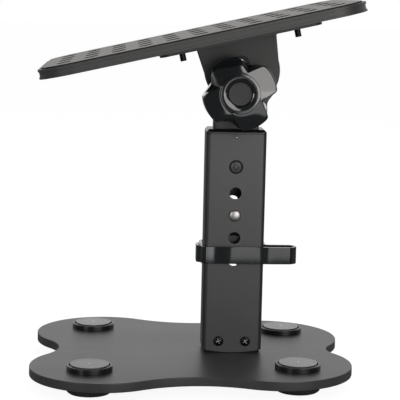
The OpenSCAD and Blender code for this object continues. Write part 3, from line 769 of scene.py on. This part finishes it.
def tilted(grid):
    """Points of the platform's own frame, turned by the tilt about the tilt axis into place."""
    x, y, z = np.moveaxis(grid, -1, 0)
    ahead = x * math.cos(TILT) - z * math.sin(TILT)
    up = x * math.sin(TILT) + z * math.cos(TILT)
    return np.stack([AXIS_X / MM + ahead, y, AXIS_Z / MM + up], axis=-1)


def peg(x, y):
    """A screw at (x, y) of the platform: its round end, the shank and the cone of its head."""
    end = FRONT_END if y < 0 else REAR_END
    profile = [(0, end), (PEG_R, end), (PEG_R, NECK), (HEAD_R, HEAD_TOP), (0, HEAD_TOP)]
    return tilted(turned(rounded(profile, 0.35), (x, y, 0), "z", 32))


pegs = [peg(x, y) for x in (-PEG_ALONG, PEG_ALONG) for y in (-PEG_ACROSS, PEG_ACROSS)]
make_piece("platform_screws_turned", pegs, ["platform_screws"], 50)

# %% [markdown]
# ## Clamp knob
# The knob is glossy moulded plastic: four lobes with crowned faces that fall away from a raised
# ring, and a scooped V valley between each two, deep at the front and shallow at the back. Cutting
# the valleys out of a turned blank would leave ragged faces where they meet its round edges. In
# polar form a valley's wall is a straight line, so the outline is one formula of the angle, and
# the profile is carried up it; the valley's floor moves out as the height drops.


# %% Knob outline
KNOB_X, _, KNOB_Z = middle("knob_cap")
KNOB_BACK_Y = -15.0
KNOB_R, KNOB_H, KNOB_TURN = 24.1, 19.0, math.radians(28)
RING_R, FACE_H = 12.9, 16.4
SCOOP_FROM, FLOOR_R, SCOOP = 0.55, 19.3, 4.2
BLEND = 1.2


def knob_outline(angle, height):
    """Radius at an angle and height: the smaller, blended, of the outer circle and the valley's
    straight wall a*sin(b)/sin(b - phi), where phi is the angle from the valley's middle, a is the
    valley's depth radius at this height and b the wall's slope to a point on the rim."""
    lift = np.clip(height / FACE_H, 0, 1)
    floor_r = FLOOR_R - SCOOP * np.clip((lift - SCOOP_FROM) / (1 - SCOOP_FROM), 0, 1) ** 0.8
    phi = (angle - KNOB_TURN) % (math.pi / 2) - math.pi / 4
    blur = 0.15 - 0.13 * lift
    phi = np.sqrt(phi**2 + blur**2) - blur * 0.8
    rim_angle = np.radians(15 + 5 * lift)
    slope = np.arctan2(KNOB_R * np.sin(rim_angle), KNOB_R * np.cos(rim_angle) - floor_r)
    wall = floor_r * np.sin(slope) / np.sin(np.clip(slope - phi, 0.05, None))
    return -BLEND * np.log(np.exp(-KNOB_R / BLEND) + np.exp(-np.minimum(wall, 60) / BLEND))


radii = knob_outline(KNOB_TURN + np.array([math.pi / 4, 0]), FACE_H)
print("valley and lobe radius at the face:", radii.round(2))

# %% Knob
CROWN, EDGE_R, BACK_EDGE_R = 2.6, 0.9, 0.8
SHOULDER = KNOB_H - CROWN
BORE_R, BORE_END = 4.4, 14.5
SOCKET_R, SOCKET_H = 7.8, KNOB_H - 1.8


def crown_at(radius):
    """How high the crowned face stands over the rim: all of CROWN at the ring, none at the rim."""
    return CROWN * np.clip(1 - (radius - RING_R) / (KNOB_R - RING_R), 0, 1) ** 0.95


def side_rows(angle):
    """The lobed side as (radius, height) rows, from the rounded back edge to the rounded front."""
    turn = np.linspace(0, math.pi / 2, 7)
    straight = np.linspace(0.9, SHOULDER - EDGE_R, 24)
    heights = np.concatenate([BACK_EDGE_R * (1 - np.cos(turn[:-1])), straight,
                              SHOULDER - EDGE_R + EDGE_R * np.sin(turn[1:])])
    insets = np.concatenate([BACK_EDGE_R * (1 - np.sin(turn[:-1])), np.zeros(24),
                             EDGE_R * (1 - np.cos(turn[1:]))])
    rows = []
    for height, inset in zip(heights, insets):
        radius = knob_outline(angle, height) - inset
        rows.append((radius, height + crown_at(radius) * (height / SHOULDER) ** 3))
    return rows


def face_rows(angle, rim):
    """The crowned face, from the side's last radius in to just outside the ring."""
    rows = []
    for share in np.linspace(0.12, 1, 8):
        radius = rim + (RING_R + 0.35 - rim) * share
        rows.append((radius, SHOULDER + crown_at(radius) - 0.12 * share**6))
    return rows


def knob_grid(around=512):
    """Rows from the bore for the insert, over the back, the side and the face, to the raised ring,
    its chamfer and the recess for the cap."""
    angle = np.linspace(0, 2 * math.pi, around, endpoint=False)[None, :]
    back = rounded([(BORE_R, BORE_END), (BORE_R, 8), (7.6, 8), (7.6, -2.5), (9.3, -2.5), (9.3, 0),
                    (14, 0)], 0.3, 3)
    ring = rounded([(RING_R + 0.1, KNOB_H - 0.2), (RING_R, KNOB_H + 1.2), (10.3, KNOB_H + 1.2),
                    (SOCKET_R, KNOB_H + 0.3), (SOCKET_R, SOCKET_H), (0, SOCKET_H)], 0.4, 4)
    side = side_rows(angle)
    rows = [(0, BORE_END), *back, *side, *face_rows(angle, side[-1][0]), *ring]
    radius, height = (np.concatenate([row[i] + 0 * angle for row in rows]) for i in (0, 1))
    x, z = radius * np.cos(angle), radius * np.sin(angle)
    return np.stack([KNOB_X + x, KNOB_BACK_Y - height, KNOB_Z + z], axis=-1)


make_piece("knob_moulding", [knob_grid()], ["knob_body"], 60)
CAP_BACK_Y = corners_of("knob_cap")[1][1]
CAP = rounded([(0, 0), (7.6, 0), (7.6, 0.6), (6.3, 0.5), (0, 0.42)], 0.25)
make_piece("knob_cap_disc", [turned(CAP, (KNOB_X, CAP_BACK_Y, KNOB_Z), "front")], ["knob_cap"])

# %% [markdown]
# ## Cable clip
# The clip is a springy plastic band: it bows between the column's corners, dips beside it and
# bows again towards the cable loop. A curve object with a bevel profile could follow the same
# plan, but it has to be made a mesh before it is placed. A rectangle with eased corners carried
# along the plan is a mesh from the start, and a small push added to the path bends its
# reflections into broad upright bands.


# %% A band along a path
BAND_T = 1.8
CLIP_LOW, CLIP_HIGH = corners_of("clip_body")
BAND_H = CLIP_HIGH[2] - CLIP_LOW[2]


def band(path, thick=BAND_T, height=BAND_H, low=CLIP_LOW[2], ease=0.3):
    """A thick by height rectangle with eased corners, carried along a plan path: each path point
    gives a frame from its tangent. Each end closes over a face that is smaller by the ease."""
    path = np.asarray(path, float)
    ahead = np.gradient(path, axis=0)
    ahead /= np.linalg.norm(ahead, axis=1, keepdims=True)
    side = np.stack([-ahead[:, 1], ahead[:, 0]], axis=-1)
    half_t, half_h = thick / 2, height / 2
    turn = np.linspace(0, math.pi / 2, 4)
    corner = np.stack([half_t - ease + ease * np.cos(turn), half_h - ease + ease * np.sin(turn)], axis=-1)
    flip = corner[::-1]
    outline = np.concatenate([corner, flip * [-1, 1], corner * [-1, -1], flip * [1, -1]])
    rows = path[:, None, :] + side[:, None, :] * outline[None, :, :1]
    heights = np.broadcast_to(outline[None, :, 1] + low + half_h, rows.shape[:2])
    grid = np.concatenate([rows, heights[..., None]], axis=-1)
    ends = []
    for end in (0, -1):
        heart = np.array([*path[end], low + half_h])
        face = heart + (grid[end] - heart) * [1 - ease / half_t, 1 - ease / half_t, 1 - ease / half_h]
        ends.append([np.broadcast_to(heart, face.shape), face])
    return np.concatenate([ends[0], grid, ends[1][::-1]])


def along(corners, radius, step=0.6):
    """Points every step along a polyline with rounded corners."""
    line = rounded(corners, radius, 8)
    gaps = np.linalg.norm(np.diff(line, axis=0), axis=1)
    line = line[np.concatenate([[True], gaps > 1e-6])]
    run = np.concatenate([[0], np.cumsum(np.linalg.norm(np.diff(line, axis=0), axis=1))])
    where = np.linspace(0, run[-1], int(run[-1] / step) + 2)
    return np.stack([np.interp(where, run, line[:, i]) for i in (0, 1)], axis=-1)


# %% Clip
IN_X, IN_Y = 20.3, 12.8
MID_X, MID_Y = IN_X + BAND_T / 2, IN_Y + BAND_T / 2
LOOP_OUT, LOOP_END, RETURN_Y = 42, 4.4, -4.6 + BAND_T / 2
LOOP_X = LOOP_OUT - BAND_T / 2
LATCH_X = -MID_X - 0.85
column_middle = np.array([COLUMN_X, 0])
clip_path = along(
    [(-MID_X, -7.4), (-MID_X, MID_Y), (MID_X, MID_Y), (MID_X, RETURN_Y), (LOOP_X - 3, RETURN_Y),
     (LOOP_X, RETURN_Y - 2.6), (LOOP_X, -MID_Y + 3.2), (LOOP_X - 3.2, -MID_Y),
     (LOOP_OUT - LOOP_END, -MID_Y)], 1.4)
latch_path = along([(LATCH_X, -4), (LATCH_X, 0)], 0.5)
bands = [band(clip_path + column_middle), band(latch_path + column_middle, ease=0.25)]
make_piece("clip_band", bands, ["clip_body"], 50)

# %% Gate
TAB_X, TAB_Y = -IN_X - BAND_T - 1.1 - BAND_T / 2, 1.65
HINGE_X = LOOP_OUT - LOOP_END - 0.3
CORNER_R = 2.5
FRONT_Y, FRONT_DEEP = -11.2, 2.5
FACETS = [(-18.65, -0.2), (-12.6, 0.28), (-1.0, 0.6), (16.4, 0.2), (24.2, 0.76), (37.3, 0.1)]


def bowed(path, knots, soften=7):
    """Pushes the front stretch outwards: the push is read off straight lines between the knots
    (x, push), then averaged over a few neighbours, so the band has nearly flat facets."""
    knots = np.array(knots)
    front = np.clip((FRONT_Y - path[:, 1]) / FRONT_DEEP, 0, 1)
    push = np.interp(path[:, 0], knots[:, 0], knots[:, 1]) * front
    push = np.convolve(np.pad(push, soften // 2, mode="edge"), np.ones(soften) / soften, mode="valid")
    return path - np.stack([0 * push, push], axis=-1)


corner = [(-MID_X + CORNER_R * (1 - math.sin(a)), -MID_Y + CORNER_R * (1 - math.cos(a)))
          for a in np.radians([90, 67, 45, 22, 0])]
gate_path = along([(TAB_X + 2.0, TAB_Y), (TAB_X, TAB_Y), (TAB_X, -8.1), (-MID_X, -10.1), *corner,
                   (HINGE_X, -MID_Y)], 0.8)
gate_path = bowed(gate_path, FACETS)
make_piece("clip_gate_band", [band(gate_path + column_middle)], ["clip_gate"], 50)

# %% [markdown]
# ## Button spring
# Behind the snap button sits a strip of spring steel folded into a V. The front leg carries the
# button and gives way with it, and the back leg leans on the tube's far wall. It is the clip's
# band on its side, carried along the V. Its transform is baked into its mesh and it goes on no
# body, so when the button goes in, the leaf stays where it is built.


# %% Button spring
LEAF_T, LEG_BEND = 0.8, 6
FOLD_Y, STILL_Y = 0.2, -0.6
leaf_low, leaf_high = corners_of("button_leaf")
front_y, back_y = leaf_low[1] + LEAF_T / 2, leaf_high[1] - LEAF_T / 2
fold_z, bend_z, tip_z = leaf_low[2] + LEAF_T / 2, BUTTON_Z - LEG_BEND, leaf_high[2]
leaf_path = along([(front_y, tip_z), (front_y, bend_z), (FOLD_Y, fold_z),
                   (back_y, bend_z), (back_y, tip_z)], 1.6)
leaf = band(leaf_path, LEAF_T, leaf_high[0] - leaf_low[0], leaf_low[0], 0.15)[..., [2, 0, 1]]
fold, leg = (np.array([BUTTON_X, y, fold_z]) * MM for y in (STILL_Y, front_y + LEAF_T / 2))
make_piece("button_leaf_sprung", [leaf], ["button_leaf"], 50, bend=("mast", "button", fold, leg))
print("leaf from", leaf_low.round(2), "to", leaf_high.round(2))
